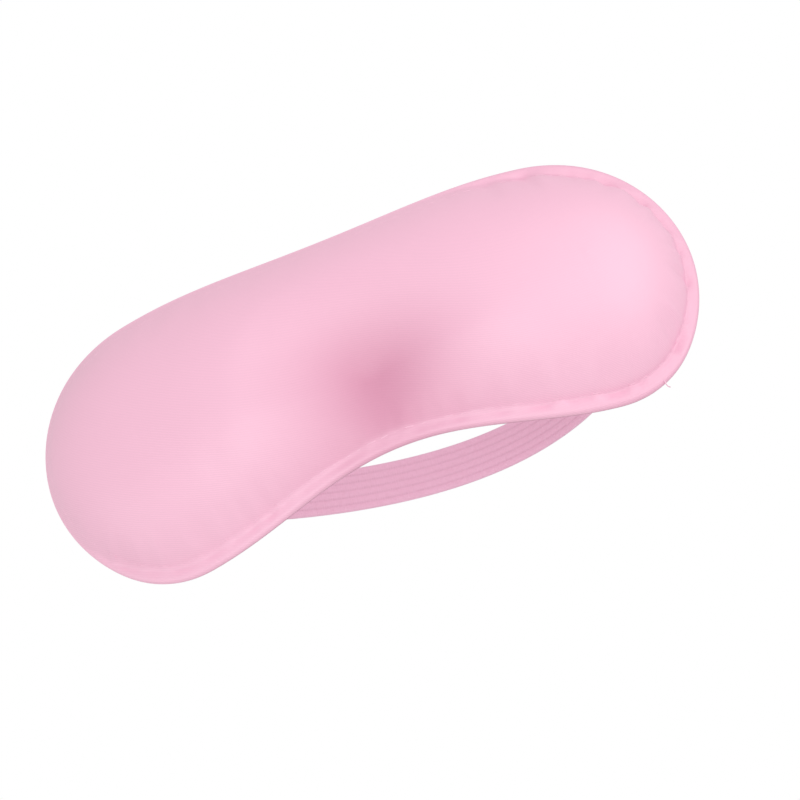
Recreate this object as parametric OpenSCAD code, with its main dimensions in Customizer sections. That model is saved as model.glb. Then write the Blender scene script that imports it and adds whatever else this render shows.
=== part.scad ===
// Padded sleep eye mask with an elastic head band, bowed as it sits on a face.
// Millimetres, +Z up. The front faces -Y and +X is to the right as seen from the front.
// The origin is the middle of the face side, between the eyes.

/* [Pattern] */
// Distance from the middle of the mask to the centre of each round end, along the flat pattern
end_x = 67; // [67:0.5:75]
// Radius of the round ends, which is half the height of the mask
end_r = 44; // [38:0.5:48]
// How far the round ends lean up, which fills their upper corners and trims the lower ones
end_lean = 3.4; // [0:0.2:5]
// Depth of the shallow dip in the top edge
brow_dip = 3.7; // [0:0.1:8]
// Half width of the dip in the top edge
brow_half_w = 65; // [40:1:65]
// Depth of the notch over the nose in the bottom edge
nose_dip = 10; // [6:0.5:16]
// Half width of the notch over the nose
nose_half_w = 67; // [45:1:67]

/* [Bow and padding] */
// Radius of the face that the seam line is bowed around
bow_r = 215; // [160:5:400]
// Height of the padded eye domes in front of the seam line
dome_h = 17; // [10:0.5:20]
// Depth of the padding behind the seam line
back_h = 3; // [2:0.5:5]
// Width of the pressed margin outside the topstitching
margin_w = 6; // [4:0.5:8]
// Half thickness of the pressed margin
margin_n = 1.2; // [1.1:0.1:1.5]
// Share of the dome height that the valley takes away above the nose
nose_valley = 0.5; // [0:0.05:0.7]
// Share of the dome height that the saddle takes away at the brow
brow_saddle = 0.2; // [0:0.05:0.4]
// Half width of the valley between the domes
valley_half_w = 24; // [15:1:35]

/* [Layers] */
// Thickness of the satin front cover
cover_t = 0.7; // [0.5:0.1:0.8]
// Thickness of the blackout liner behind the padding
liner_t = 0.5; // [0.3:0.1:0.5]
// Thickness of the back lining against the face
lining_t = 0.7; // [0.5:0.1:0.7]
// Width of the turned edge that closes around the padding
turned_w = 1.6; // [1.2:0.1:2]

/* [Head band] */
// Width of the ribbed elastic
strap_w = 14.5; // [10:0.5:20]
// Thickness of the ribbed elastic
strap_t = 1.4; // [1:0.1:2]
// Where each sewn end stops, along the flat pattern
sew_out = 85; // [80:1:90]
// Length of elastic that is sewn down at each end
sew_len = 14; // [10:1:18]
// Radius of the turn where the elastic leaves the lining
turn_r = 8; // [5:0.5:10]
// Depth of the relaxed loop behind the turns
loop_depth = 75; // [60:1:90]
// Roundness of the relaxed loop, where 1 is half an ellipse
loop_round = 1.16; // [0.8:0.01:1.2]
// How far the relaxed loop leans down on the right and up on the left
loop_lean = 6.8; // [0:0.2:8]
// Share of the loop depth that the two side runs cover
run_share = 0.7; // [0.5:0.05:0.8]

/* [Stitches] */
// Distance from the edge to the topstitching
topstitch_inset = 5; // [3.5:0.5:5.5]
// Thickness of the sewing thread
thread_d = 0.5; // [0.3:0.1:0.6]
// Length of one stitch
stitch_len = 3; // [2:0.5:4]
// Gap between two stitches
stitch_gap = 1; // [0.5:0.1:2]
// Length of the loose thread end on the right bottom edge
tail_len = 4; // [2:0.5:6]
// Number of threads across the elastic in one bar tack
tack_threads = 11; // [7:2:13]

/* [Hidden] */

satin_pink = [0.96, 0.75, 0.85];
lining_pink = [0.93, 0.70, 0.80];
elastic_pink = [0.94, 0.73, 0.82];
thread_pink = [0.97, 0.80, 0.88];
foam_white = [0.93, 0.92, 0.90];
liner_black = [0.12, 0.11, 0.12];

face_r = bow_r - back_h;        // radius of the face side
margin_t = margin_w / end_r;    // the margin as a share of the half height
turned_t = turned_w / end_r;    // the turned edge as a share of the half height
end_steps = 8;                  // steps in a quarter of a round end
side_steps = 22;                // steps along a long side
dome_steps = [0.07, 0.16, 0.3, 0.48, 0.68, 0.9];
inner_rings = concat([turned_t, margin_t], [for (d = dome_steps) margin_t + (1 - margin_t) * d]);
cover_rings = concat([0, 0.7 * turned_t], inner_rings);
loop_gap = 0.25;                // room between solids that move apart, in degrees along the loop
path_step = 4;                  // step along the loop, in degrees
thread_sides = 8;
laid_gap = 0.1;                 // between a curved layer and what is sewn on it
sew_in = sew_out - sew_len;
tack_inset = 3;                 // from each end of the sewn length to a bar tack
tack_len = 2.4;
tack_w = strap_w - 3;
tail_angle = -69;               // where the loose thread end leaves the right round end

// ---- the flat pattern: s runs along the mask and z up it ----

// Half of a cosine hump: 1 in the middle and 0 from half_w outwards
function hump(s, half_w) = (1 + cos(180 * min(abs(s) / half_w, 1))) / 2;

// Top and bottom edges between the round ends
function top_z(s) = end_r - brow_dip * hump(s, brow_half_w);
function bottom_z(s) = -end_r + nose_dip * hump(s, nose_half_w);

// Radius of a round end towards angle a, measured up from its tip, and a point of the right end there
function end_reach(a) = end_r + end_lean * sin(2 * a) * cos(a);
function end_point(a) = [end_x, 0] + end_reach(a) * [cos(a), sin(a)];

// The line half way between the edges
function middle_z(s) = abs(s) < end_x ? (top_z(s) + bottom_z(s)) / 2 : 0;

// The same point on the other side of the mask
function flipped(p) = [-p[0], p[1]];

// The outline, anticlockwise from the right tip, with matching points above and below
function outline() = concat(
    [for (k = [0:end_steps]) end_point(90 * k / end_steps)],
    [for (k = [1:side_steps - 1]) let (s = end_x * (1 - 2 * k / side_steps)) [s, top_z(s)]],
    [for (k = [0:2 * end_steps]) flipped(end_point(90 - 90 * k / end_steps))],
    [for (k = [1:side_steps - 1]) let (s = -end_x * (1 - 2 * k / side_steps)) [s, bottom_z(s)]],
    [for (k = [0:end_steps - 1]) end_point(-90 + 90 * k / end_steps)]
);

// A point moved from the edge (t = 0) towards the middle line (t = 1)
function inward(p, t) =
    let (s = min(max(p[0], -end_x), end_x), m = [s, middle_z(s)])
    m + (p - m) * (1 - t);

// ---- the padding: n is the height in front of the seam line ----

function plump(t) = t < margin_t ? 0 : 1 - pow((1 - t) / (1 - margin_t), 3);
function lowness(z) = min(max(0.5 - (z - 5) / 50, 0), 1);
function valley(s, z) = 1 - exp(-pow(s / valley_half_w, 2)) * (brow_saddle + nose_valley * lowness(z));
function front_n(s, z, t) = margin_n + (dome_h - margin_n) * plump(t) * valley(s, z);
function back_n(t) = -margin_n - (back_h - margin_n) * plump(t);

// A point of the flat pattern, bowed around the face
function bow(s, n, z) =
    let (a = s / bow_r * 180 / PI)
    [(bow_r + n) * sin(a), face_r - (bow_r + n) * cos(a), z];

// A closed layer between two surfaces, each a function of s, z and t
module layer(rings, front, back) {
    line = outline();
    count = len(line);
    half = count / 2;
    last = len(rings) - 1;
    flat = [for (t = rings, p = line) concat(inward(p, t), [t])];
    points = concat(
        [for (q = flat) bow(q[0], front(q[0], q[1], q[2]), q[1])],
        [for (q = flat) bow(q[0], back(q[0], q[1], q[2]), q[1])]
    );
    under = len(flat);
    ring_faces = [
        for (r = [0:last - 1], i = [0:count - 1])
            let (j = (i + 1) % count, a = r * count + i, b = r * count + j)
            each [[a, b, b + count], [a, b + count, a + count]]
    ];
    middle_faces = [
        for (i = [0:half - 1])
            let (o = last * count, a = o + i, b = a + 1, c = o + (count - i - 1), d = o + (count - i) % count)
            each (i == 0 ? [[a, b, c]] : i == half - 1 ? [[a, b, d]] : [[a, b, c], [a, c, d]])
    ];
    shell = concat(ring_faces, middle_faces);
    shell_under = [for (f = shell) [f[2] + under, f[1] + under, f[0] + under]];
    edge_faces = [
        for (i = [0:count - 1])
            let (j = (i + 1) % count)
            each [[i, i + under, j + under], [i, j + under, j]]
    ];
    polyhedron(points, concat(shell, shell_under, edge_faces));
}

module front_cover() {
    color(satin_pink)
        layer(
            cover_rings,
            function(s, z, t) front_n(s, z, t),
            function(s, z, t) t < turned_t ? 0 : front_n(s, z, t) - cover_t
        );
}

module pad_core() {
    color(foam_white)
        layer(
            inner_rings,
            function(s, z, t) front_n(s, z, t) - cover_t,
            function(s, z, t) back_n(t) + lining_t + liner_t
        );
}

module blackout_liner() {
    color(liner_black)
        layer(
            inner_rings,
            function(s, z, t) back_n(t) + lining_t + liner_t,
            function(s, z, t) back_n(t) + lining_t
        );
}

module back_lining() {
    color(lining_pink)
        layer(
            cover_rings,
            function(s, z, t) t < turned_t ? 0 : back_n(t) + lining_t,
            function(s, z, t) back_n(t)
        );
}

// ---- stitches ----

// A straight thread from one point to another
module thread(from, to) {
    v = to - from;
    translate(from)
        rotate([0, acos(v[2] / norm(v)), atan2(v[1], v[0])])
            cylinder(h = norm(v), d = thread_d, $fn = thread_sides);
}

// A point at distance d along the topstitching, anticlockwise from the right end's bottom
stitch_r = end_r - topstitch_inset;
end_run = PI * stitch_r;
side_run = 2 * end_x;
stitch_line = 2 * (end_run + side_run);

function edge_top(s) = top_z(s) - topstitch_inset;
function edge_bottom(s) = bottom_z(s) + topstitch_inset;
function round_end(a) = inward(end_point(a), topstitch_inset / end_r);
function along(d) =
    d < end_run ? round_end(-90 + 180 * d / end_run)
    : d < end_run + side_run ? let (s = end_x - (d - end_run)) [s, edge_top(s)]
    : d < 2 * end_run + side_run ? flipped(round_end(90 - 180 * (d - end_run - side_run) / end_run))
    : let (s = -end_x + (d - 2 * end_run - side_run)) [s, edge_bottom(s)];
function on_cover(p) = bow(p[0], margin_n + laid_gap + thread_d / 2, p[1]);

module edge_topstitch() {
    stitches = floor(stitch_line / (stitch_len + stitch_gap));
    pitch = stitch_line / stitches;
    tail_from = end_point(tail_angle) - turned_w * [cos(tail_angle), sin(tail_angle)];
    tail_to = end_point(tail_angle) + tail_len * [cos(tail_angle), sin(tail_angle)];
    color(thread_pink) {
        for (i = [0:stitches - 1])
            thread(on_cover(along(i * pitch)), on_cover(along(i * pitch + stitch_len)));
        thread(on_cover(tail_from), on_cover(tail_to));
    }
}

// ---- head band ----

// The sewn end lies flat on the lining, then turns away from the face
sewn_n = -back_h - laid_gap - strap_t / 2;
sew_angle = sew_out / bow_r * 180 / PI;
turn_centre = bow(sew_out, sewn_n, 0) + turn_r * [-sin(sew_angle), cos(sew_angle), 0];
loop_x = turn_centre[0] + turn_r;
loop_y = turn_centre[1];

function sewn_path() = concat(
    [for (k = [0:4]) bow(sew_in + sew_len * k / 4, sewn_n, 0)],
    [for (k = [1:6]) let (a = -90 + sew_angle + (90 - sew_angle) * k / 6)
        turn_centre + turn_r * [cos(a), sin(a), 0]]
);

// The relaxed loop, from the right turn (a = 0) round the back to the left turn (a = 180)
function loop_at(a) = [
    loop_x * cos(a),
    loop_y + loop_depth * pow(sin(a), loop_round),
    -loop_lean * sin(2 * a)
];
run_end = asin(pow(run_share, 1 / loop_round));

function loop_path(from, to) =
    let (steps = ceil((to - from) / path_step))
    [for (k = [0:steps]) loop_at(from + (to - from) * k / steps)];

// A flat band that stands on edge along a path, as one closed solid
module band(path) {
    last = len(path) - 1;
    points = [
        for (i = [0:last])
            let (
                v = path[min(i + 1, last)] - path[max(i - 1, 0)],
                side = [-v[1], v[0], 0] / norm([v[0], v[1]]) * strap_t / 2,
                up = [0, 0, strap_w / 2]
            )
            each [path[i] + side + up, path[i] - side + up, path[i] - side - up, path[i] + side - up]
    ];
    walls = [
        for (i = [0:last - 1], k = [0:3])
            let (a = 4 * i + k, b = 4 * i + (k + 1) % 4)
            each [[b + 4, b, a], [a + 4, b + 4, a]]
    ];
    tail = 4 * last;
    ends = [[2, 3, 0], [1, 2, 0], [tail + 2, tail + 1, tail], [tail + 3, tail + 2, tail]];
    polyhedron(points, concat(walls, ends));
}

module strap_end() {
    color(elastic_pink) band(sewn_path());
}
module strap_end_right() { strap_end(); }
module strap_end_left() { mirror([1, 0, 0]) strap_end(); }

// Two rows of threads across the sewn elastic
module bar_tack() {
    tack_n = sewn_n - strap_t / 2 - laid_gap - thread_d / 2;
    color(thread_pink)
        for (s = [sew_in + tack_inset, sew_out - tack_inset], k = [0:tack_threads - 1])
            let (z = tack_w * (k / (tack_threads - 1) - 0.5))
            thread(bow(s - tack_len / 2, tack_n, z), bow(s + tack_len / 2, tack_n, z));
}
module bar_tack_right() { bar_tack(); }
module bar_tack_left() { mirror([1, 0, 0]) bar_tack(); }

module strap_run_right() {
    color(elastic_pink) band(loop_path(loop_gap, run_end));
}
module strap_run_left() {
    color(elastic_pink) band(loop_path(180 - run_end, 180 - loop_gap));
}
module strap_back() {
    color(elastic_pink) band(loop_path(run_end + loop_gap, 180 - run_end - loop_gap));
}

front_cover();
pad_core();
blackout_liner();
back_lining();
edge_topstitch();
strap_end_left();
strap_end_right();
bar_tack_left();
bar_tack_right();
strap_run_left();
strap_run_right();
strap_back();
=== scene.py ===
"""Padded satin sleep mask with a ribbed elastic head band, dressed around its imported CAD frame."""
import math
import bpy
import bmesh
import numpy as np
from mathutils import Matrix, Vector


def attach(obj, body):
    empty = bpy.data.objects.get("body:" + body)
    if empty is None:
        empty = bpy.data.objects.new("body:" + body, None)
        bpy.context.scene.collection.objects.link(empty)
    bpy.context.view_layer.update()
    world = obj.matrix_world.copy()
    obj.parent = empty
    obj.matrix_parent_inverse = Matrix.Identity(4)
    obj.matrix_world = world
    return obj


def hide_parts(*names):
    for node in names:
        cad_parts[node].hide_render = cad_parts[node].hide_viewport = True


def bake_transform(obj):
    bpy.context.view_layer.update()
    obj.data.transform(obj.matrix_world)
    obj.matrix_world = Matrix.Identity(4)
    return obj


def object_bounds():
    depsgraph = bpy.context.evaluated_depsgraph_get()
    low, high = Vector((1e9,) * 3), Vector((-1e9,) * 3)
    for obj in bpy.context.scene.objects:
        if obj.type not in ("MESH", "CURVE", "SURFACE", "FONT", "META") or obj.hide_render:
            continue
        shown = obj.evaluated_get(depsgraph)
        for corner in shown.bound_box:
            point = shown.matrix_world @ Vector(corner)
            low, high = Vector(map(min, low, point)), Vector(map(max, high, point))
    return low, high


bl_info = {
    "name": "Sleep Mask",
    "version": (1, 0, 0),
    "blender": (4, 5, 0),
    "location": "View3D > Sidebar > Sleep Mask",
    "description": "Builds a padded satin sleep mask with an elastic head band",
    "category": "Add Mesh",
}

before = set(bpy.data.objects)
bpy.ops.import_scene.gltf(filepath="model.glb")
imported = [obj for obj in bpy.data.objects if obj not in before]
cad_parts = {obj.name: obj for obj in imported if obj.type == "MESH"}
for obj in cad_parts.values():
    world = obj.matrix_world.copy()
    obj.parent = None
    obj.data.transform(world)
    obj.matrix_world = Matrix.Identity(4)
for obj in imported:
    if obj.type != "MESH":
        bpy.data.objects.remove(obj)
cad_low, cad_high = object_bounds()
MM = 0.001
RIGHT, LEFT = 1, -1


def linear(hex_colour):
    """An sRGB hex colour as linear red, green, blue and alpha."""
    parts = [int(hex_colour[i:i + 2], 16) / 255 for i in (1, 3, 5)]
    return [c / 12.92 if c <= 0.04045 else ((c + 0.055) / 1.055) ** 2.4 for c in parts] + [1.0]


# ---------------- settings


def length(name, description, default):
    """A length property, in metres."""
    return bpy.props.FloatProperty(
        name=name, description=description, default=default, unit="LENGTH", precision=5
    )


def number(name, description, default):
    """A number without a unit of its own."""
    return bpy.props.FloatProperty(name=name, description=description, default=default)


def whole(name, description, default):
    """A whole number, of two or more."""
    return bpy.props.IntProperty(name=name, description=description, default=default, min=2)


def share(name, description, default):
    """A share from 0 to 1."""
    return bpy.props.FloatProperty(name=name, description=description, default=default, min=0, max=1)


def tint(name, description, hex_colour):
    """A colour property, given as sRGB hex."""
    return bpy.props.FloatVectorProperty(
        name=name, description=description, default=linear(hex_colour), size=4, subtype="COLOR",
        min=0, max=1
    )


class MaskPattern(bpy.types.PropertyGroup):
    """The flat cut and how it is bowed around a face."""
    end_x: length("End centre", "From the middle to each round end's centre", 67 * MM)
    end_r: length("End radius", "Half the height of the mask", 44 * MM)
    end_lean: length("End lean", "How far the round ends lean up", 3.4 * MM)
    brow_dip: length("Brow dip", "Depth of the shallow dip in the top edge", 3.7 * MM)
    brow_half_w: length("Brow half width", "Half width of the dip in the top edge", 65 * MM)
    nose_dip: length("Nose notch", "Depth of the notch in the bottom edge", 10 * MM)
    nose_half_w: length("Notch half width", "Half width of the notch in the bottom edge", 67 * MM)
    bow_r: length("Bow radius", "Radius that the seam line is bowed to", 215 * MM)


class MaskPadding(bpy.types.PropertyGroup):
    """How far the two sides stand off the seam line, and the layers between them."""
    dome_h: length("Dome height", "Height of the domes in front of the seam line", 17 * MM)
    back_h: length("Back depth", "Depth of the padding behind the seam line", 3 * MM)
    margin_w: length("Margin width", "Width of the margin outside the padding", 4.6 * MM)
    loose_margin_w: length("Loose margin width", "The same where the stitching is slack", 1.4 * MM)
    fullness: number("Fullness", "How steeply the padding rises", 2.7)
    margin_n: length("Margin half thickness", "Half the thickness of the margin", 1.5 * MM)
    turned_w: length("Turned edge", "Width over which the turned edge rounds off", 1.6 * MM)
    cover_t: length("Cover thickness", "Thickness of the satin front cover", 0.7 * MM)
    liner_t: length("Liner thickness", "Thickness of the blackout liner", 0.5 * MM)
    lining_t: length("Lining thickness", "Thickness of the back lining", 0.7 * MM)
    brow_saddle: share("Brow saddle", "Share of the dome height lost at the brow", 0.16)
    nose_pit: share("Nose pit", "Share of the dome height lost above the nose", 0.84)
    pit_z: length("Pit height", "Height of the deepest point of the pit", -12 * MM)
    pit_half_w: length("Pit half width", "Its half width at its deepest point", 36 * MM)
    pit_rise: length("Pit rise", "How soon the pit ends above its deepest point", 32 * MM)
    pit_run: length("Pit run", "How soon the pit ends below its deepest point", 130 * MM)
    pit_flare: share("Pit flare", "How fast the pit widens downwards", 0.5)
    pucker: length("Pucker depth", "Depth of the gathers beside the stitching", 0.8 * MM)


class HeadBand(bpy.types.PropertyGroup):
    """The ribbed elastic and the shape of its relaxed loop."""
    width: length("Width", "Width of the elastic", 14.5 * MM)
    thickness: length("Thickness", "Thickness of the elastic over its ribs", 1.4 * MM)
    rib_depth: length("Rib depth", "Depth of the grooves between the ribs", 0.32 * MM)
    ribs: whole("Ribs", "Number of ribs across the elastic", 6)
    sew_out: length("Sewn to", "Where each sewn end stops", 85 * MM)
    sew_len: length("Sewn length", "Length of elastic sewn down at each end", 14 * MM)
    turn_r: length("Turn radius", "Radius where the elastic leaves the lining", 8 * MM)
    loop_depth: length("Loop depth", "Depth of the relaxed loop behind the turns", 75 * MM)
    loop_round: number("Loop roundness", "1 is half an ellipse", 1.16)
    twist: number("Twist", "Degrees that the loop twists each way", 10)
    loop_lean: length("Loop lean", "How far the loop leans down on the right", 6.8 * MM)


class Stitching(bpy.types.PropertyGroup):
    """The topstitching and the bar tacks."""
    inset: length("Inset", "From the edge to the topstitching", 5 * MM)
    thread_d: length("Thread", "Thickness of the sewing thread", 0.34 * MM)
    stitch: length("Stitch", "Length of one stitch", 3 * MM)
    gap: length("Gap", "Gap between two stitches", 1 * MM)
    tail: length("Loose end", "Length of the loose thread end", 2.4 * MM)
    tack_threads: whole("Tack threads", "Threads in a row of a bar tack", 21)


class Finishes(bpy.types.PropertyGroup):
    """The colours of the materials."""
    satin: tint("Satin", "Front cover", "#F8BED6")
    lining: tint("Lining", "Back lining", "#F0B3CC")
    elastic: tint("Elastic", "Head band", "#FFCDE4")
    thread: tint("Thread", "Stitches and bar tacks", "#F8C6DA")
    wadding: tint("Wadding", "Padding", "#EFEDE8")
    blackout: tint("Blackout cloth", "Liner behind the padding", "#1B191B")
    floor: tint("Floor", "Studio floor", "#ECEAEA")


class Studio(bpy.types.PropertyGroup):
    """The camera and the lights."""
    lens: number("Lens", "Focal length in millimetres", 116.7)
    distance: length("Distance", "From the camera to the mask", 0.8)
    azimuth: number("Azimuth", "Degrees to the right of straight on", -0.4)
    elevation: number("Elevation", "Degrees above the horizon", -26)
    roll: number("Roll", "Degrees that the right end is turned up", 22)
    shift_x: number("Shift across", "Share of the picture's width", 0.034)
    shift_y: number("Shift up", "Share of the picture's width", -0.027)
    key: number("Key light", "Watts", 2.6)
    side: number("Side light", "Watts", 2.5)
    ambient: number("Ambient", "Strength of the white surroundings", 0.71)


class SleepMask(bpy.types.PropertyGroup):
    """All the settings."""
    pattern: bpy.props.PointerProperty(type=MaskPattern)
    padding: bpy.props.PointerProperty(type=MaskPadding)
    band: bpy.props.PointerProperty(type=HeadBand)
    stitching: bpy.props.PointerProperty(type=Stitching)
    finishes: bpy.props.PointerProperty(type=Finishes)
    studio: bpy.props.PointerProperty(type=Studio)


def settings():
    """The scene's sleep mask settings."""
    return bpy.context.scene.sleep_mask


# ---------------- the flat pattern

END_STEPS = 40  # steps round a quarter of a round end
SIDE_STEPS = 92  # steps along a long side


def hump(s, half_w):
    """Half of a cosine hump: 1 in the middle and 0 from half_w outwards."""
    return (1 + np.cos(np.pi * np.minimum(np.abs(s) / half_w, 1))) / 2


def top_z(s):
    """Height of the top edge."""
    p = settings().pattern
    return p.end_r - p.brow_dip * hump(s, p.brow_half_w)


def bottom_z(s):
    """Height of the bottom edge."""
    p = settings().pattern
    return -p.end_r + p.nose_dip * hump(s, p.nose_half_w)


def middle_z(s):
    """The line half way between the edges."""
    return np.where(np.abs(s) < settings().pattern.end_x, (top_z(s) + bottom_z(s)) / 2, 0)


def round_end(angle):
    """Points of the right round end at the given angles up from its tip."""
    p = settings().pattern
    reach = p.end_r + p.end_lean * np.sin(2 * angle) * np.cos(angle)
    return np.stack([p.end_x + reach * np.cos(angle), reach * np.sin(angle)], -1)


def outline(end_steps=END_STEPS, side_steps=SIDE_STEPS):
    """The edge of the cut, anticlockwise from the right tip, as (s, z) rows."""
    p = settings().pattern
    quarter = np.linspace(0, np.pi / 2, end_steps + 1)
    side = np.linspace(p.end_x, -p.end_x, side_steps + 1)[1:-1]

    half = np.linspace(np.pi / 2, -np.pi / 2, 2 * end_steps + 1)
    return np.concatenate([
        round_end(quarter),
        np.stack([side, top_z(side)], 1),
        round_end(half) * [-1, 1],
        np.stack([-side, bottom_z(-side)], 1),
        round_end(quarter - np.pi / 2)[:-1],
    ])


def inward(edge, inset):
    """Rows of (s, z), each moved in from the edge by each inset: an array of rings, points and 2."""
    p = settings().pattern
    s = np.clip(edge[:, 0], -p.end_x, p.end_x)
    middle = np.stack([s, middle_z(s)], 1)
    t = (np.asarray(inset) / p.end_r)[:, None, None]
    return middle + (edge - middle) * (1 - t)


def bow(s, n, z):
    """A point of the flat pattern, n in front of the seam line, bowed around the face."""
    p, back_h = settings().pattern, settings().padding.back_h
    return np.stack([
        (p.bow_r + n) * np.sin(s / p.bow_r),
        p.bow_r - back_h - (p.bow_r + n) * np.cos(s / p.bow_r),
        z + 0 * s,
    ], -1)


def smooth(x):
    """An S curve from 0 to 1."""
    x = np.clip(x, 0, 1)
    return x * x * (3 - 2 * x)


def waves(along, around, seed, count, longest, shortest):
    """A smooth wandering value of about -1 to 1 along a closed line: a few random sine waves."""
    draw = np.random.default_rng(seed)
    total = np.zeros_like(along)
    for turns in draw.integers(max(1, int(around / longest)), max(2, int(around / shortest)), count):
        total += np.sin(2 * np.pi * turns * along / around + draw.uniform(0, 2 * np.pi))
    return total / math.sqrt(count)


# ---------------- the padded surfaces

RIGHT_FROM = 30 * MM  # where the stitching starts to get tighter towards the right end
RIGHT_RUN = 55 * MM
LOW_FROM = -14 * MM  # and towards the bottom edge
LOW_RUN = 22 * MM
LOW_SHARE = 0.8  # how tight it gets there, as a share of the right end
PIT_ROUNDING = 0.22  # rounds off the deepest point of the pit
PIT_POWER = 1.9  # draws the sides of the pit in
SADDLE_HALF_W = 32 * MM  # half width of the saddle between the domes

EDGE_RINGS = np.array([0, 0.12, 0.3, 0.6, 1.0, 1.6, 2.4, 3.2, 3.9]) * MM  # from the edge
SEAM_RINGS = np.array([-0.6, -0.3, 0, 0.3, 0.6, 1.0]) * MM  # from the stitching
DOME_RINGS = np.concatenate([np.arange(7, 16, 0.9), np.arange(16, 42.4, 1.45)]) * MM

LINE_DEPTH = 0.3 * MM  # the line that the stitches press in
LINE_HALF_W = 0.7 * MM
SLACK_PULL = 0.15  # how hard the stitching still pulls where it is slack
GATHERS = {"seed": 11, "count": 9, "longest": 40 * MM, "shortest": 9 * MM}
FINE_GATHERS = {"seed": 5, "count": 7, "longest": 12 * MM, "shortest": 5 * MM}
GATHER_FROM = 1.5 * MM  # the gathers start this far from the edge
GATHER_RISE = 3 * MM
GATHER_TO = 17 * MM  # and end this far from it
GATHER_FADE = 10 * MM
BACK_PULL = 0.35  # how hard it pulls at the lining, as a share of the cover


def edge_roll(inset):
    """The turned edge: 0 at the very edge and 1 where the margin lies flat."""
    x = np.minimum(inset / settings().padding.turned_w, 1)
    return np.sqrt(1 - (1 - x) ** 2)


def right_share(s):
    """0 up to the right dome, and 1 near the right end."""
    return smooth((s - RIGHT_FROM) / RIGHT_RUN)


def tightness(s, z):
    """How hard the stitching pulls the padding in: hardest round the right end and along the bottom."""
    below = smooth((LOW_FROM - z) / LOW_RUN)
    return np.clip(right_share(s) + LOW_SHARE * below, 0, 1)


def plump(s, z, inset):
    """How full the padding is: 0 in the margin and 1 in the middle."""
    a, p = settings().padding, settings().pattern
    margin = a.loose_margin_w + (a.margin_w - a.loose_margin_w) * tightness(s, z)
    left = (p.end_r - inset) / (p.end_r - margin)
    return 1 - np.minimum(left, 1) ** a.fullness


def pit_share(s, z):
    """The pit above the nose, where the padding is pushed in: 1 at its deepest point."""
    a = settings().padding
    above = np.maximum(z - a.pit_z, 0)
    below = np.maximum(a.pit_z - z, 0)
    reach = np.hypot(s / (a.pit_half_w + a.pit_flare * below), above / a.pit_rise)
    reach = np.hypot(reach, below / a.pit_run)
    return np.clip(1 + PIT_ROUNDING - np.hypot(reach, PIT_ROUNDING), 0, 1) ** PIT_POWER


def valley(s, z):
    """1 on the domes, and less between them: a saddle at the brow and a pit above the nose."""
    a = settings().padding
    brow = a.brow_saddle * np.exp(-(s / SADDLE_HALF_W) ** 2)
    return (1 - brow) * (1 - a.nose_pit * pit_share(s, z))


def front_n(s, z, inset):
    """How far the front stands off the seam line, without its seam details."""
    a = settings().padding
    return a.margin_n * edge_roll(inset) + (a.dome_h - a.margin_n) * plump(s, z, inset) * valley(s, z)


def back_n(s, z, inset):
    """How far the back stands off the seam line."""
    a = settings().padding
    return -a.margin_n * edge_roll(inset) - (a.back_h - a.margin_n) * plump(s, z, inset)


def rows():
    """Insets of the rings: close together at the turned edge and at the stitching, then wider."""
    return np.concatenate([EDGE_RINGS, settings().stitching.inset + SEAM_RINGS, DOME_RINGS])


def distances(line):
    """How far along a closed line each of its points is, and how long the line is."""
    step = np.linalg.norm(np.roll(line, -1, 0) - line, axis=1)
    return np.concatenate([[0], np.cumsum(step)[:-1]]), step.sum()


def layout(insets):
    """s, z, inset and distance along the edge for every point of the given rings."""
    edge = outline()
    sz = inward(edge, insets)
    inset = np.repeat(np.asarray(insets)[:, None], len(edge), 1)
    return sz[..., 0], sz[..., 1], inset, *distances(edge)


def seam_details(s, z, inset, along, around):
    """The stitch line sunk into the padding and the gathers that run in from it, as a change of n.
    Both are strongest round the right end and along the bottom."""
    a = settings().padding
    tight = SLACK_PULL + (1 - SLACK_PULL) * tightness(s, z)
    line = np.exp(-((inset - settings().stitching.inset) / LINE_HALF_W) ** 2)
    gather = waves(along, around, **GATHERS)
    fine = waves(along, around, **FINE_GATHERS)
    reach = smooth((inset - GATHER_FROM) / GATHER_RISE) * smooth((GATHER_TO - inset) / GATHER_FADE)
    sunk = -LINE_DEPTH * line * (0.8 + 0.2 * fine)
    return tight * (sunk + a.pucker * reach * (0.6 * gather + 0.4 * fine))


# ---------------- meshes

SETTLE_SCALE = 10  # the cloth solver is made for cloth of a metre or more
SETTLE_CAP = 1.5 * MM  # the furthest that the cloth may move
SETTLE_FRAMES = 20
SETTLE_SMOOTHING = 6  # rounds of averaging, which take out the solver's fine ripples
SETTLE_RAMP = 3 * MM  # how far in from the stitching the cloth rises in full
SETTLE_HOLD = 2.5  # how firmly the cover is held in the pit
SETTLE_CLOTH = {
    "mass": 0.3, "tension_stiffness": 80, "compression_stiffness": 80, "shear_stiffness": 20,
    "bending_stiffness": 0.5, "use_pressure": True, "uniform_pressure_force": 4, "shrink_min": -0.006,
}
HAIR = 0.01 * MM  # keeps surfaces apart that would meet


def panel_faces(rings, count):
    """Quads that join the rings of a panel, and close it along its middle line."""
    i = np.arange(count)
    j = (i + 1) % count
    quads = [np.stack([r * count + i, (r + 1) * count + i, (r + 1) * count + j, r * count + j], 1)
             for r in range(rings - 1)]
    faces = np.concatenate(quads).tolist()
    last = (rings - 1) * count
    for k in range(count // 2):
        a, b = last + k, last + k + 1
        c, d = last + count - k - 1, last + (count - k) % count
        faces.append([b, a, c] if k == 0 else [b, a, d] if k == count // 2 - 1 else [b, a, d, c])
    return faces


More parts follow.
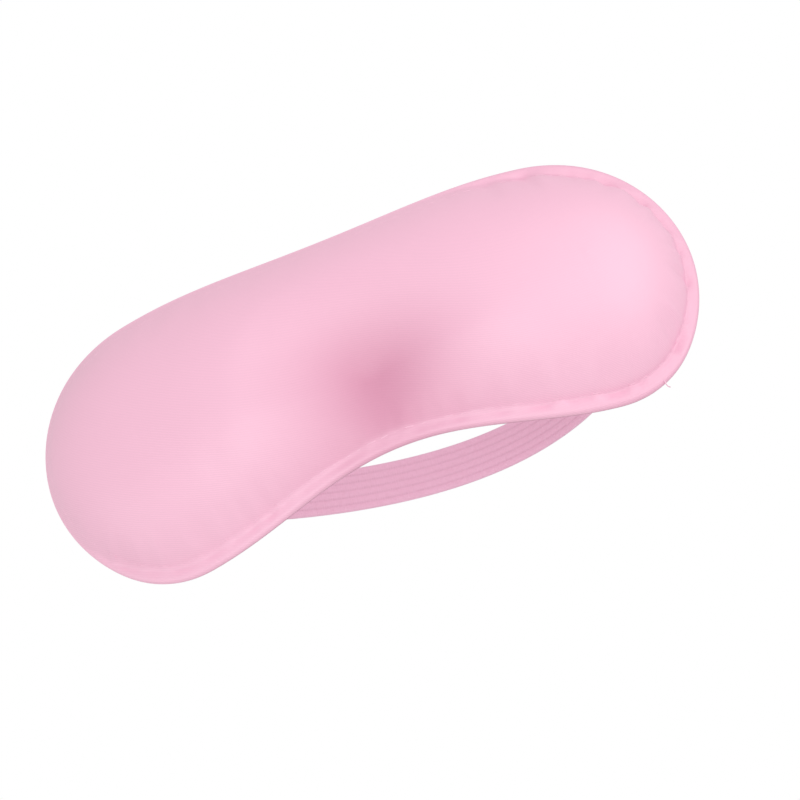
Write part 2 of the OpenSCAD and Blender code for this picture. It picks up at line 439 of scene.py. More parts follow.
def new_piece(name, points, faces, uv=None):
    """A mesh object from points and faces, with an optional (across, along) place for each point."""
    mesh = bpy.data.meshes.new(name)
    mesh.from_pydata(np.asarray(points).tolist(), [], faces)
    if uv is not None:
        layer = mesh.uv_layers.new(name="cloth")
        corner = np.empty(len(mesh.loops), np.int32)
        mesh.loops.foreach_get("vertex_index", corner)
        layer.data.foreach_set("uv", np.asarray(uv, np.float32)[corner].ravel())
    piece = bpy.data.objects.new(name, mesh)
    bpy.context.scene.collection.objects.link(piece)
    return piece


def face_outwards(piece):
    """Turns every face of a closed piece outwards, and shades it smooth."""
    work = bmesh.new()
    work.from_mesh(piece.data)
    bmesh.ops.recalc_face_normals(work, faces=work.faces)
    if work.calc_volume(signed=True) < 0:
        bmesh.ops.reverse_faces(work, faces=work.faces)
    work.to_mesh(piece.data)
    work.free()
    piece.data.polygons.foreach_set("use_smooth", [True] * len(piece.data.polygons))
    piece.data.update()


def mark(piece, name, values):
    """Stores a value for each point of both sides of a layer."""
    values = np.asarray(values, np.float32).ravel()
    layer = piece.data.attributes.new(name, "FLOAT", "POINT")
    layer.data.foreach_set("value", np.resize(values, len(piece.data.vertices)))


def closed_layer(name, s, z, front, back):
    """A closed layer over rings of points of the pattern. Front and back are how far its sides stand
    off the seam line."""
    rings, count = s.shape
    shell = panel_faces(rings, count)
    under = rings * count
    rim = [[i, (i + 1) % count, (i + 1) % count + under, i + under] for i in range(count)]
    faces = shell + [[v + under for v in reversed(f)] for f in shell] + rim
    points = np.concatenate([bow(s, n, z).reshape(-1, 3) for n in (front, back)])
    uv = np.stack([s, z], -1).reshape(-1, 2)
    piece = new_piece(name, points, faces, np.concatenate([uv, uv]))
    face_outwards(piece)
    return piece


def settled(s, z, inset, n):
    """Lets the cover settle as slightly loose cloth, blown up over the wadding and held at its stitching
    and in the pit. Returns how far each point rises."""
    points = bow(s, n, z)
    faces = [f[::-1] for f in panel_faces(*s.shape)]
    cloth = new_piece("settling_cover", points.reshape(-1, 3) * SETTLE_SCALE, faces)
    sewn = inset <= settings().stitching.inset + HAIR
    hold = np.where(sewn, 1, np.clip(SETTLE_HOLD * (1 - valley(s, z)), 0, 1))
    held = cloth.vertex_groups.new(name="held")
    for index, weight in enumerate(hold.ravel().tolist()):
        held.add([index], weight, "REPLACE")

    solver = cloth.modifiers.new("cloth", "CLOTH")
    solver.settings.vertex_group_mass = "held"
    for key, value in SETTLE_CLOTH.items():
        setattr(solver.settings, key, value)
    solver.settings.effector_weights.gravity = 0
    solver.point_cache.frame_start = 1
    solver.point_cache.frame_end = SETTLE_FRAMES
    for moment in range(1, SETTLE_FRAMES + 1):
        bpy.context.scene.frame_set(moment)
    mesh = cloth.evaluated_get(bpy.context.evaluated_depsgraph_get()).data
    moved = np.empty(len(mesh.vertices) * 3)
    mesh.vertices.foreach_get("co", moved)
    bpy.data.objects.remove(cloth)
    bpy.context.scene.frame_set(1)

    turn_s = s / settings().pattern.bow_r
    outwards = np.stack([np.sin(turn_s), -np.cos(turn_s), 0 * s], -1)
    rise = ((moved.reshape(points.shape) / SETTLE_SCALE - points) * outwards).sum(-1)
    rise = SETTLE_CAP * np.tanh(rise / SETTLE_CAP)
    for _ in range(SETTLE_SMOOTHING):
        rise = (np.roll(rise, 1, 1) + 2 * rise + np.roll(rise, -1, 1)) / 4
        rise[1:-1] = (rise[:-2] + 2 * rise[1:-1] + rise[2:]) / 4
    return rise * smooth((inset - settings().stitching.inset) / SETTLE_RAMP)


def rise_of_cover(rings):
    """How far the cloth of the cover rose as it settled, at that many of its innermost rings."""
    cover = bpy.data.objects["front_cover_satin"]
    rise = np.empty(len(cover.data.vertices), np.float32)
    cover.data.attributes["rise"].data.foreach_get("value", rise)
    return rise[:len(rise) // 2].reshape(len(rows()), -1)[-rings:]


def finish_piece(piece, material):
    """Gives a piece its material."""
    piece.data.materials.append(material)


# ---------------- materials


def add(tree, kind, inputs=None, **values):
    """Adds one node: values are its own settings, and inputs are socket values or sockets to link."""
    node = tree.nodes.new(kind)
    for key, value in values.items():
        setattr(node, key, value)
    feed(tree, node, inputs or {})
    return node


def feed(tree, node, inputs):
    """Gives a node its inputs."""
    for key, value in inputs.items():
        if isinstance(value, bpy.types.NodeSocket):
            tree.links.new(value, node.inputs[key])
        else:
            node.inputs[key].default_value = value


def blended(tree, first, second, factor, blend_type="MIX"):
    """The colour that two colours mix to."""
    return add(tree, "ShaderNodeMix", {"A": first, "B": second, "Factor": factor},
               data_type="RGBA", blend_type=blend_type).outputs["Result"]


def sum_of(tree, operation, *inputs):
    """The result of a sum with one or two inputs."""
    return add(tree, "ShaderNodeMath", dict(enumerate(inputs)), operation=operation).outputs[0]


def noise(tree, place, scale, detail):
    """Soft random noise from 0 to 1."""
    return add(tree, "ShaderNodeTexNoise", {
        "Vector": place, "Scale": scale, "Detail": detail,
    }).outputs["Fac"]


def new_material(name):
    """A material, its node tree and its Principled shader."""
    material = bpy.data.materials.new(name)
    material.use_nodes = True
    tree = material.node_tree
    tree.nodes.clear()
    shader = add(tree, "ShaderNodeBsdfPrincipled")
    add(tree, "ShaderNodeOutputMaterial", {"Surface": shader.outputs[0]})
    return material, tree, shader


def shade(colour, factor):
    """The same colour, lighter or darker."""
    return [min(1, c * factor) for c in colour[:3]] + [1]


FLOAT_ANGLE = math.radians(28)  # which way the satin's floats run
WAVES_PER_UNIT = 20 / math.tau  # bands in one unit of the wave texture at scale 1
PAINTED_SHADE_TINT = (0.71, 0.46, 0.57)  # how much red, green and blue the painted shade keeps
ROW_STEP = 0.8 * MM  # from one knitted row to the next


def satin_weave(name, colour, thread, roughness, gloss, sheen, lift):
    """Polyester satin: long floats that lie one way, so it is smooth, with a soft silky sheen.
    Its colour is deepened by painted shade, a share stored on the piece: in the pit above the nose and
    on the margin round the right end.
    Real floats are about 0.1 mm wide and are drawn thread wide, so that they can show."""
    material, tree, shader = new_material(name)
    place = add(tree, "ShaderNodeUVMap", uv_map="cloth").outputs[0]
    turned = add(tree, "ShaderNodeMapping", {0: place, 2: (0, 0, FLOAT_ANGLE)}).outputs[0]
    floats = add(tree, "ShaderNodeTexWave", {
        "Vector": turned, "Scale": 1 / (thread * WAVES_PER_UNIT), "Distortion": 2.0, "Detail": 2.0,
    }, wave_type="BANDS", bands_direction="Y").outputs["Fac"]
    cloudy = noise(tree, place, 14.0, 3.0)
    fine = noise(tree, place, 700.0, 2.0)
    # Painted shade: a stored share darkens the satin towards a deeper pink in the pit and on the right
    # margin.
    pressed = add(tree, "ShaderNodeAttribute", attribute_name="pressed").outputs["Fac"]
    painted_shade_colour = [c * keep for c, keep in zip(colour, PAINTED_SHADE_TINT)] + [1]
    mottled = blended(tree, shade(colour, 0.965), shade(colour, 1.03), cloudy)
    with_painted_shade = blended(tree, mottled, painted_shade_colour, pressed)
    rough = add(tree, "ShaderNodeMapRange", {
        "Value": fine, "To Min": roughness - 0.05, "To Max": roughness + 0.06,
    })
    weave = add(tree, "ShaderNodeBump", {"Height": floats, "Strength": lift, "Distance": 0.03 * MM})
    crumple = add(tree, "ShaderNodeBump", {
        "Height": fine, "Strength": lift, "Distance": 0.05 * MM, "Normal": weave.outputs[0],
    })
    feed(tree, shader, {
        "Base Color": blended(tree, with_painted_shade, floats, 0.06, "MULTIPLY"),
        "Roughness": rough.outputs[0],
        "Normal": crumple.outputs[0],
        "IOR": 1.6,
        "Specular IOR Level": gloss,
        "Sheen Weight": sheen,
        "Sheen Roughness": 0.45,
        "Sheen Tint": shade(colour, 1.15),
    })
    return material


def knitted_elastic(name, colour):
    """Knitted elastic: matt yarn looped across rubber cores, so it is ribbed along its length
    and has fine rows across it. Real rows are 0.5 mm apart and are drawn 0.8 mm apart."""
    band = settings().band
    material, tree, shader = new_material(name)
    place = add(tree, "ShaderNodeUVMap", uv_map="cloth").outputs[0]
    split = add(tree, "ShaderNodeSeparateXYZ", {0: place})
    row = sum_of(tree, "SINE", sum_of(tree, "MULTIPLY", split.outputs[0], math.tau / ROW_STEP))
    across = sum_of(tree, "MULTIPLY", split.outputs[1], math.tau * band.ribs / band.width)
    groove = sum_of(tree, "COSINE", across)
    # Painted shade: the yarn's colour darkens along the grooves between the ribs.
    painted_groove_shade = add(tree, "ShaderNodeMapRange", {"Value": groove, "From Min": 0.2, "To Max": 0.25})
    fuzz = noise(tree, place, 900.0, 3.0)
    yarn = blended(tree, shade(colour, 0.93), shade(colour, 1.05), fuzz)
    loops = add(tree, "ShaderNodeBump", {"Height": row, "Strength": 0.5, "Distance": 0.05 * MM})
    fibres = add(tree, "ShaderNodeBump", {
        "Height": fuzz, "Strength": 0.4, "Distance": 0.08 * MM, "Normal": loops.outputs[0],
    })
    feed(tree, shader, {
        "Base Color": blended(tree, yarn, shade(colour, 0.78), painted_groove_shade.outputs[0]),
        "Normal": fibres.outputs[0],
        "Roughness": 0.75,
        "Specular IOR Level": 0.25,
        "Sheen Weight": 0.1,
        "Sheen Roughness": 0.5,
    })
    return material


def fibrous(name, colour, scale, depth, roughness):
    """Loose fibres, needled or spun: matt, and rough at the size of its tufts."""
    material, tree, shader = new_material(name)
    place = add(tree, "ShaderNodeTexCoord").outputs["Object"]
    tufts = noise(tree, place, scale, 6.0)
    bump = add(tree, "ShaderNodeBump", {"Height": tufts, "Strength": 0.6, "Distance": depth})
    feed(tree, shader, {
        "Base Color": blended(tree, shade(colour, 0.86), shade(colour, 1.08), tufts),
        "Normal": bump.outputs[0],
        "Roughness": roughness,
    })
    return material


def spun_thread(name):
    """The thread of the stitches and the bar tacks."""
    return fibrous(name, settings().finishes.thread, 4000.0, 0.05 * MM, 0.6)


# ---------------- studio and layers

AIM = Vector((0, 17 * MM, 0))  # what the camera and the lights point at
LIGHT_DISTANCE = 0.9
LIGHT_SIZE = 0.9
FILL_SHARE = 0.5  # the fill light's power, as a share of the side light's
FLOOR_RADIUS = 3.0
FLOOR_DROP = 0.5  # from the mask's lowest point to the floor

# Where the lights stand, as the camera sees it: right, up and towards the camera.
KEY_PLACE = (-0.05, 0.1, 1.0)
SIDE_PLACE = (0.72, 0.7, 0.35)
FILL_PLACE = (-0.8, -0.5, 0.45)


def camera_axes():
    """Which way the camera's right, up and back run."""
    u = settings().studio
    a, e, r = (math.radians(x) for x in (u.azimuth, u.elevation, u.roll))
    back = Vector((math.sin(a) * math.cos(e), -math.cos(a) * math.cos(e), math.sin(e)))
    across = Vector((math.cos(a), math.sin(a), 0))
    up = back.cross(across)
    right = math.cos(r) * across - math.sin(r) * up
    above = math.sin(r) * across + math.cos(r) * up
    return right, above, back


def soft_light(name, place, power):
    """A wide round light at a place as the camera sees it, turned to the mask."""
    light = bpy.data.objects.new(name, bpy.data.lights.new(name, "AREA"))
    light.data.shape = "DISK"
    light.data.size = LIGHT_SIZE
    light.data.energy = power
    right, above, back = camera_axes()
    direction = (place[0] * right + place[1] * above + place[2] * back).normalized()
    light.location = AIM + direction * LIGHT_DISTANCE
    light.rotation_euler = direction.to_track_quat("Z", "Y").to_euler()
    bpy.context.scene.collection.objects.link(light)


class AddStudio(bpy.types.Operator):
    """Set up the camera, the soft lights, the white surroundings and the pale floor"""
    bl_idname = "sleep_mask.add_studio"
    bl_label = "Studio"

    def execute(self, context):
        u = settings().studio
        right, above, back = camera_axes()
        camera = bpy.data.objects.new("camera", bpy.data.cameras.new("camera"))
        context.scene.collection.objects.link(camera)
        axes = Matrix((right, above, back)).transposed().to_4x4()
        camera.matrix_world = Matrix.Translation(AIM + back * u.distance) @ axes
        camera.data.lens = u.lens
        camera.data.shift_x = u.shift_x
        camera.data.shift_y = u.shift_y
        camera.data.clip_start = 0.01
        context.scene.camera = camera

        soft_light("key light", KEY_PLACE, u.key)
        soft_light("side light", SIDE_PLACE, u.side)
        soft_light("fill light", FILL_PLACE, FILL_SHARE * u.side)

        world = bpy.data.worlds.new("white surroundings")
        world.use_nodes = True
        context.scene.world = world
        tree = world.node_tree
        tree.nodes.clear()
        seen = add(tree, "ShaderNodeBackground", {"Color": (1, 1, 1, 1), "Strength": 1.0})
        lit = add(tree, "ShaderNodeBackground", {"Color": (1, 0.985, 0.99, 1), "Strength": u.ambient})
        ray = add(tree, "ShaderNodeLightPath")
        mix = add(tree, "ShaderNodeMixShader", {
            0: ray.outputs["Is Camera Ray"], 1: lit.outputs[0], 2: seen.outputs[0],
        })
        add(tree, "ShaderNodeOutputWorld", {"Surface": mix.outputs[0]})
        context.scene.view_settings.view_transform = "Standard"

        bpy.ops.object.select_all(action="DESELECT")
        bpy.ops.mesh.primitive_circle_add(
            vertices=96, radius=FLOOR_RADIUS, fill_type="NGON", location=(0, 0, cad_low.z - FLOOR_DROP)
        )
        floor = context.active_object
        floor.name = "studio_floor"
        material, tree, shader = new_material("matt studio paper")
        feed(tree, shader, {"Base Color": settings().finishes.floor, "Roughness": 0.9})
        floor.data.materials.append(material)
        return {"FINISHED"}


MARGIN_PAST = 1.5 * MM  # how far past the stitching the painted shade on the margin reaches
MARGIN_FADE = 2 * MM
MARGIN_PAINTED_SHADE = 0.25  # how strong the painted shade on the margin is at the right end
PIT_PAINTED_SHADE = 0.9  # and the painted shade in the pit, at its deepest point
LAYER_GAP = 0.05 * MM  # between the wadding and the cloth on either side
WADDING_LEAST = 0.1 * MM  # the wadding's least thickness


def pressed_share(s, z, inset):
    """How far the satin's colour is deepened by painted shade: in the pit and on the right margin."""
    margin = smooth((settings().stitching.inset + MARGIN_PAST - inset) / MARGIN_FADE)
    return PIT_PAINTED_SHADE * pit_share(s, z) * (1 - 0.5 * margin) + MARGIN_PAINTED_SHADE * margin * right_share(s)


class AddFrontCover(bpy.types.Operator):
    """Make the satin front cover, with its turned edge, stitch line and gathers"""
    bl_idname = "sleep_mask.add_front_cover"
    bl_label = "Front cover"

    def execute(self, context):
        g = settings()
        s, z, inset, along, around = layout(rows())
        n = front_n(s, z, inset) + seam_details(s, z, inset, along, around)
        rise = settled(s, z, inset, n)
        n = n + rise
        thick = np.where(inset < g.padding.turned_w, n, g.padding.cover_t)
        cover = closed_layer("front_cover_satin", s, z, n, n - thick - HAIR)
        mark(cover, "rise", rise)
        # Painted shade in the pit and on the right margin, stored on the cover for its satin.
        mark(cover, "pressed", pressed_share(s, z, inset))
        finish_piece(cover, satin_weave(
            "pink polyester satin", g.finishes.satin,
            thread=0.5 * MM, roughness=0.48, gloss=1.0, sheen=0.1, lift=0.5,
        ))
        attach(cover, "mask")
        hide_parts("front_cover")
        return {"FINISHED"}


def inner_rows():
    """Insets of the rings of the layers inside the turned edge."""
    every = rows()
    return every[every >= settings().padding.turned_w - HAIR]


class AddWadding(bpy.types.Operator):
    """Make the moulded wadding pad between the cover and the liner"""
    bl_idname = "sleep_mask.add_wadding"
    bl_label = "Wadding"

    def execute(self, context):
        g = settings()
        a = g.padding
        s, z, inset, along, around = layout(inner_rows())
        front = front_n(s, z, inset) + seam_details(s, z, inset, along, around) + rise_of_cover(len(s))
        front = front - a.cover_t - LAYER_GAP
        back = back_n(s, z, inset) + a.lining_t + a.liner_t + LAYER_GAP
        pad = closed_layer("wadding_pad", s, z, np.maximum(front, back + WADDING_LEAST), back)
        finish_piece(pad, fibrous(
            "needled polyester wadding", g.finishes.wadding, scale=450.0, depth=0.4 * MM, roughness=0.95
        ))
        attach(pad, "mask")
        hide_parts("pad_core")
        return {"FINISHED"}


class AddBlackoutLiner(bpy.types.Operator):
    """Make the thin dark cloth behind the wadding"""
    bl_idname = "sleep_mask.add_blackout_liner"
    bl_label = "Blackout liner"

    def execute(self, context):
        g = settings()
        s, z, inset, _, _ = layout(inner_rows())
        n = back_n(s, z, inset) + g.padding.lining_t
        liner = closed_layer("blackout_cloth", s, z, n + g.padding.liner_t, n)
        finish_piece(liner, satin_weave(
            "black blackout cloth", g.finishes.blackout,
            thread=0.5 * MM, roughness=0.7, gloss=0.3, sheen=0.1, lift=0.8,
        ))
        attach(liner, "mask")
        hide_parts("blackout_liner")
        return {"FINISHED"}


class AddBackLining(bpy.types.Operator):
    """Make the soft lining against the face"""
    bl_idname = "sleep_mask.add_back_lining"
    bl_label = "Back lining"

    def execute(self, context):
        g = settings()
        s, z, inset, along, around = layout(rows())
        n = back_n(s, z, inset) - BACK_PULL * seam_details(s, z, inset, along, around)
        thick = np.where(inset < g.padding.turned_w, -n, g.padding.lining_t)
        lining = closed_layer("back_lining_cloth", s, z, n + thick - HAIR, n)
        finish_piece(lining, satin_weave(
            "brushed pink lining", g.finishes.lining,
            thread=0.6 * MM, roughness=0.6, gloss=0.4, sheen=0.4, lift=0.8,
        ))
        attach(lining, "mask")
        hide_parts("back_lining")
        return {"FINISHED"}


# ---------------- stitches

STITCH_STRAIGHT = 0.6  # the straight part of a stitch, as a share of its length
STITCH_ENDS = ((0.14, 0.8), (0.06, 0.5))  # then each step outwards, and how much narrower it ends
STITCH_SINK = 0.4  # how deep a stitch lies in the cloth, in thread thicknesses
TAIL_ANGLE = math.radians(-69)  # where round the right end the loose thread end hangs
# Five points along the loose thread end: how far out, as a share of its length, how far to the right,
# and how far in front of the seam line.
TAIL_OUT = np.array([-0.5, -0.1, 0.2, 0.4, 0.6])
TAIL_CURL = np.array([0, 0, 0.1, 0.4, 0.9]) * MM
TAIL_FRONT = np.array([1.25, 1.2, 0.7, 0.3, 0.2]) * MM


def stitch_model(name, thread_d, long):
    """One stitch, modelled as by hand: a short round bar whose ends are drawn in, lying along X."""
    bpy.ops.object.select_all(action="DESELECT")
    bpy.ops.mesh.primitive_cylinder_add(
        vertices=8, radius=thread_d / 2, depth=long * STITCH_STRAIGHT, end_fill_type="NGON"
    )
    piece = bpy.context.active_object
    piece.name = name
    bpy.ops.object.mode_set(mode="EDIT")
    bpy.ops.mesh.select_mode(type="FACE")
    for side in (1, -1):
        bpy.ops.mesh.select_all(action="DESELECT")
        work = bmesh.from_edit_mesh(piece.data)
        for f in work.faces:
            f.select = f.normal.z * side > 0.9
        bmesh.update_edit_mesh(piece.data)
        for reach, narrow in STITCH_ENDS:
            outwards = (0, 0, side * reach * long)
            bpy.ops.mesh.extrude_region_move(TRANSFORM_OT_translate={"value": outwards})
            bpy.ops.transform.resize(value=(narrow, narrow, 1))
    bpy.ops.object.mode_set(mode="OBJECT")
    piece.data.transform(Matrix.Rotation(math.pi / 2, 4, "Y"))
    return piece


def place_copies(name, model, places):
    """Copies of a model joined into one piece. A place is a centre, the way it runs and the way out."""
    co = np.array([v.co for v in model.data.vertices])
    base = [list(f.vertices) for f in model.data.polygons]
    points, faces = [], []
    for centre, along, out in places:
        x = along / np.linalg.norm(along)
        y = np.cross(out, x)
        y = y / np.linalg.norm(y)
        turned = co @ np.stack([x, y, np.cross(x, y)]) + centre
        faces += [[v + len(points) * len(co) for v in f] for f in base]
        points.append(turned)
    piece = new_piece(name, np.concatenate(points), faces)
    bpy.data.objects.remove(model)
    face_outwards(piece)
    return piece


def seam_places(side):
    """Centres, directions and normals of the stitches along the topstitching: side 1 is the front."""
    st = settings().stitching
    edge = outline(end_steps=200, side_steps=400)
    seam = inward(edge, [st.inset])[0]
    s, z = seam[:, 0], seam[:, 1]
    inset = np.full(len(s), st.inset)
    groove = seam_details(s, z, inset, *distances(edge))
    run, around = distances(seam)
    n = front_n(s, z, inset) + groove if side > 0 else back_n(s, z, inset) - BACK_PULL * groove
    points = bow(s, n - side * STITCH_SINK * st.thread_d, z)
    middle = np.array([0, settings().pattern.bow_r - settings().padding.back_h, 0])
    count = int(around / (st.stitch + st.gap))
    centres = (np.arange(count) + 0.5) * around / count

    def at(d):
        return np.stack([np.interp(d, run, points[:, k], period=around) for k in range(3)], 1)

    near = 0.4 * MM
    runs = at(centres + near) - at(centres - near)
    out = (at(centres) - middle) * [1, 1, 0] * side
    return list(zip(at(centres), runs, out / np.linalg.norm(out, axis=1)[:, None]))


def thread_tube(name, path, radius, sides=8):
    """A round thread along a path, closed at both ends."""
    run = np.gradient(path, axis=0)
    run /= np.linalg.norm(run, axis=1)[:, None]
    side = np.cross(run, [0.3, 0.2, 1.0])
    side /= np.linalg.norm(side, axis=1)[:, None]
    up = np.cross(side, run)
    angle = np.arange(sides) * math.tau / sides
    across = np.cos(angle)[:, None] * side[:, None] + np.sin(angle)[:, None] * up[:, None]
    ring = path[:, None] + radius * across
    last = len(path) - 1
    faces = [[i * sides + k, i * sides + j, (i + 1) * sides + j, (i + 1) * sides + k]
             for i in range(last) for k in range(sides) for j in [(k + 1) % sides]]
    faces += [list(range(sides)), list(range(last * sides, (last + 1) * sides))]
    piece = new_piece(name, ring.reshape(-1, 3), faces)
    face_outwards(piece)
    return piece


class AddTopstitch(bpy.types.Operator):
    """Sew the stitches along the margin, front and back, and leave the loose thread end"""
    bl_idname = "sleep_mask.add_topstitch"
    bl_label = "Topstitching"

    def execute(self, context):
        st = settings().stitching
        model = stitch_model("stitch", st.thread_d, st.stitch)
        piece = place_copies("edge_topstitching", model, seam_places(1) + seam_places(-1))
        root = round_end(np.array(TAIL_ANGLE))
        out = TAIL_OUT[:, None] * st.tail * [math.cos(TAIL_ANGLE), math.sin(TAIL_ANGLE)]
        hanging = bow(root[0] + out[:, 0] + TAIL_CURL, TAIL_FRONT, root[1] + out[:, 1])
        tail = thread_tube("tail", hanging, st.thread_d / 2)
        bpy.ops.object.select_all(action="DESELECT")
        tail.select_set(True)
        piece.select_set(True)
        context.view_layer.objects.active = piece
        bpy.ops.object.join()
        finish_piece(piece, spun_thread("spun polyester thread"))
        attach(piece, "mask")
        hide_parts("edge_topstitch")
        return {"FINISHED"}


# ---------------- head band

SEWN_GAP = 0.1 * MM  # between the lining and the elastic
BAND_STEP = 1.1 * MM  # from one section of the elastic to the next
JOIN_BEHIND = 12 * MM  # how far behind the turns' centres the sewn ends meet the loop
TACK_INSET = 3 * MM  # from each end of the sewn length to a row of tack threads
TACK_EDGE = 2.5 * MM  # how much narrower a row is than the elastic
TACK_REACH = 1.2 * MM  # half of a tack thread's run along the elastic
TACK_LEAN = 0.3 * MM  # half of its run across, to and fro in turn
TACK_LONG = 2.6 * MM
TACK_LIFT = 0.05 * MM  # its middle stands this far off the elastic


def sewn_n():
    """Where the middle of the elastic's thickness lies while it is sewn to the lining."""
    return -settings().padding.back_h - SEWN_GAP - settings().band.thickness / 2


def turn():
    """The angle of the mask where the elastic leaves it, and the centre of the elastic's turn."""
    b, p = settings().band, settings().pattern
    a = b.sew_out / p.bow_r
    end = bow(np.array(b.sew_out), sewn_n(), np.array(0.0))
    return a, end + b.turn_r * np.array([-math.sin(a), math.cos(a), 0])


def band_path():
    """The middle line of the whole elastic, from the right sewn end round the back to the left one."""
    b, p = settings().band, settings().pattern
    a, centre = turn()
    s = np.linspace(b.sew_out - b.sew_len, b.sew_out, 18)
    sewn = bow(s, sewn_n(), 0 * s)
    bend = np.linspace(a - math.pi / 2, 0, 12)[1:]
    turned = centre + b.turn_r * np.stack([np.cos(bend), np.sin(bend), 0 * bend], 1)
    t = np.linspace(0, math.pi, 400)[1:-1]
    loop = np.stack([
        (centre[0] + b.turn_r) * np.cos(t),
        centre[1] + b.loop_depth * np.sin(t) ** b.loop_round,
        -b.loop_lean * np.sin(2 * t),
    ], 1)
    mirrored = [-1, 1, 1]
    return np.concatenate([sewn, turned, loop, turned[::-1] * mirrored, sewn[::-1] * mirrored])


def spaced(path, step):
    """The same path with points about step apart, and the distance along it."""
    along = np.concatenate([[0], np.cumsum(np.linalg.norm(np.diff(path, axis=0), axis=1))])
    d = np.linspace(0, along[-1], int(along[-1] / step) + 1)
    return np.stack([np.interp(d, along, path[:, k]) for k in range(3)], 1), d


def rib_section():
    """The elastic's cross section, anticlockwise: how far out and how far up each point is."""
    b = settings().band
    z = np.linspace(-0.5, 0.5, b.ribs * 8 + 1)
    rib = np.abs(np.sin(np.pi * b.ribs * (z + 0.5))) ** 0.6
    out = b.thickness / 2 - b.rib_depth * (1 - rib)
    out = out * (1 - 0.25 * (2 * np.abs(z)) ** 8)
    right = np.stack([out, z * b.width], 1)
    return np.concatenate([right, right[::-1] * [-1, 1]])


def lean_angle(path):
    """How far the elastic twists at each point of its path: nothing where it is sewn."""
    b = settings().band
    _, centre = turn()
    back = np.clip((path[:, 1] - centre[1]) / b.loop_depth, 0, 1) ** (1 / b.loop_round)
    across = path[:, 0] / (centre[0] + b.turn_r)
    return math.radians(b.twist) * (0.75 * back - 2 * back * across)


def elastic_piece(name, path, distance, part):
    """A closed ribbed band that stands on edge along part of a path, and twists a little."""
    section = rib_section()
    run = np.gradient(path, axis=0)
    side = np.stack([-run[:, 1], run[:, 0], 0 * run[:, 0]], 1)
    side /= np.linalg.norm(side, axis=1)[:, None]
    up = np.cross(run, side)
    up /= np.linalg.norm(up, axis=1)[:, None]
    lean = lean_angle(path)[:, None]
    through = np.cos(lean) * side - np.sin(lean) * up
    along_width = np.cos(lean) * up + np.sin(lean) * side
    out, height = section[None, :, :1], section[None, :, 1:]
    points = path[:, None] + out * through[:, None] + height * along_width[:, None]
    points, distance = points[part], distance[part]
    count, last = len(section), len(points) - 1
    i, k = np.meshgrid(np.arange(last), np.arange(count), indexing="ij")
    j = (k + 1) % count
    quads = np.stack([i * count + k, i * count + j, (i + 1) * count + j, (i + 1) * count + k], -1)
    half = count // 2
    caps = [[e + m, e + m + 1, e + count - m - 2, e + count - m - 1] for e in (0, last * count)
            for m in range(half - 1)]
    uv = np.stack(np.broadcast_arrays(distance[:, None], section[None, :, 1]), -1).reshape(-1, 2)
    piece = new_piece(name, points.reshape(-1, 3), quads.reshape(-1, 4).tolist() + caps, uv)
    face_outwards(piece)
    for cap in piece.data.polygons[-len(caps):]:
        cap.use_smooth = False
    return piece


class AddElastic(bpy.types.Operator):
    """Make the ribbed elastic: its two sewn ends and the loop between them"""
    bl_idname = "sleep_mask.add_elastic"
    bl_label = "Elastic"

    def execute(self, context):
        path, distance = spaced(band_path(), BAND_STEP)
        _, centre = turn()
        leave = centre[1] + JOIN_BEHIND
        half = len(path) // 2
        first = int(np.argmax(path[:half, 1] > leave))
        last = half + int(np.argmax(path[half:, 1] < leave)) - 1
        elastic = knitted_elastic("pink knitted elastic", settings().finishes.elastic)

        for side, part in (("right", slice(0, first + 1)), ("left", slice(last, None))):
            end = elastic_piece(f"elastic_end_{side}", path, distance, part)
            finish_piece(end, elastic)
            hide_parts(f"strap_end_{side}")
            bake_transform(end)
        loop = elastic_piece("elastic_loop", path, distance, slice(first, last + 1))
        finish_piece(loop, elastic)
        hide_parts("strap_run_left", "strap_run_right", "strap_back")
        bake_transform(loop)
        return {"FINISHED"}


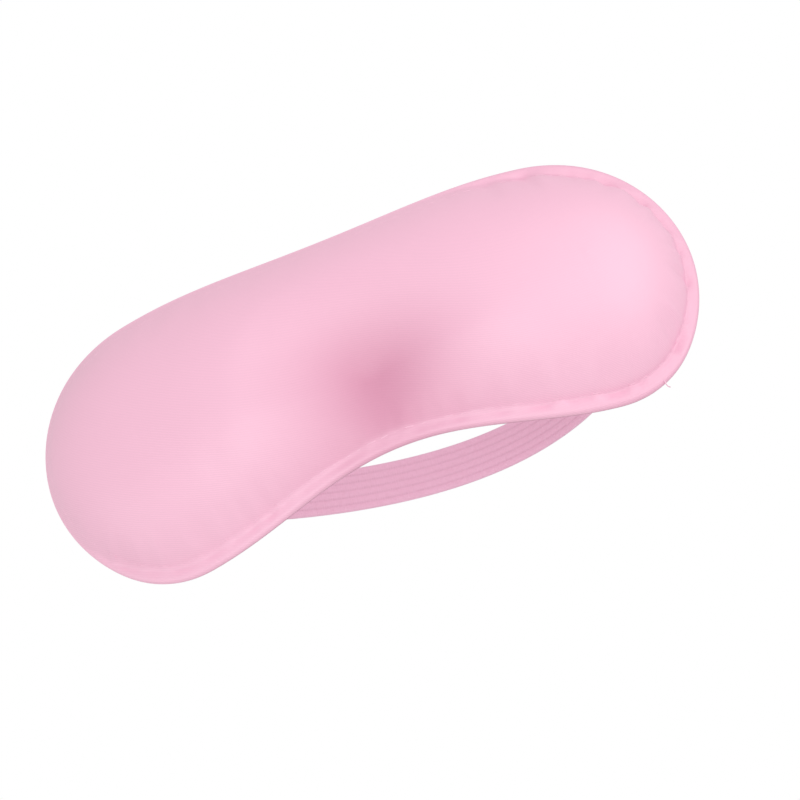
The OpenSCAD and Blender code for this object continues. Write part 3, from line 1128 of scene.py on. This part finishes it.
class AddBarTacks(bpy.types.Operator):
    """Sew the two bar tacks on each end of the elastic"""
    bl_idname = "sleep_mask.add_bar_tacks"
    bl_label = "Bar tacks"

    def execute(self, context):
        b, st = settings().band, settings().stitching
        thread = spun_thread("spun tack thread")
        n = sewn_n() - b.thickness / 2 - TACK_LIFT
        for side, name in ((RIGHT, "right"), (LEFT, "left")):
            places = []
            for s in (b.sew_out - b.sew_len + TACK_INSET, b.sew_out - TACK_INSET):
                angle = side * s / settings().pattern.bow_r
                out = np.array([-math.sin(angle), math.cos(angle), 0])
                for k in range(st.tack_threads):
                    z = (b.width - TACK_EDGE) * (k / (st.tack_threads - 1) - 0.5)
                    lean = TACK_LEAN if k % 2 else -TACK_LEAN
                    start = bow(np.array(side * s - TACK_REACH), n, np.array(z - lean))
                    end = bow(np.array(side * s + TACK_REACH), n, np.array(z + lean))
                    places.append(((start + end) / 2, end - start, out))
            tack = stitch_model("tack", st.thread_d, TACK_LONG)
            piece = place_copies(f"bar_tack_threads_{name}", tack, places)
            finish_piece(piece, thread)
            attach(piece, "mask")
            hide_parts(f"bar_tack_{name}")
        return {"FINISHED"}


class SleepMaskPanel(bpy.types.Panel):
    """Lists the sleep mask's settings and pieces"""
    bl_idname = "VIEW3D_PT_sleep_mask"
    bl_label = "Sleep Mask"
    bl_space_type = "VIEW_3D"
    bl_region_type = "UI"
    bl_category = "Sleep Mask"

    def draw(self, context):
        mask = context.scene.sleep_mask
        for group in (mask.pattern, mask.padding, mask.band, mask.stitching, mask.finishes, mask.studio):
            box = self.layout.box()
            for name in group.bl_rna.properties.keys():
                if name not in ("rna_type", "name"):
                    box.prop(group, name)
        for operator in OPERATORS:
            self.layout.operator(operator.bl_idname)


GROUPS = (MaskPattern, MaskPadding, HeadBand, Stitching, Finishes, Studio, SleepMask)
OPERATORS = (
    AddStudio, AddFrontCover, AddWadding, AddBlackoutLiner, AddBackLining, AddTopstitch, AddElastic,
    AddBarTacks,
)


def register():
    """Registers the classes and hangs the settings on the scene."""
    for item in (*GROUPS, *OPERATORS, SleepMaskPanel):
        bpy.utils.register_class(item)
    bpy.types.Scene.sleep_mask = bpy.props.PointerProperty(type=SleepMask)


def unregister():
    """Removes the settings and the classes."""
    del bpy.types.Scene.sleep_mask
    for item in (SleepMaskPanel, *reversed(OPERATORS), *reversed(GROUPS)):
        bpy.utils.unregister_class(item)


def main():
    """Makes the studio and every piece."""
    register()
    for operator in OPERATORS:
        getattr(bpy.ops.sleep_mask, operator.bl_idname.split(".")[1])()


if __name__ == "__main__":
    main()
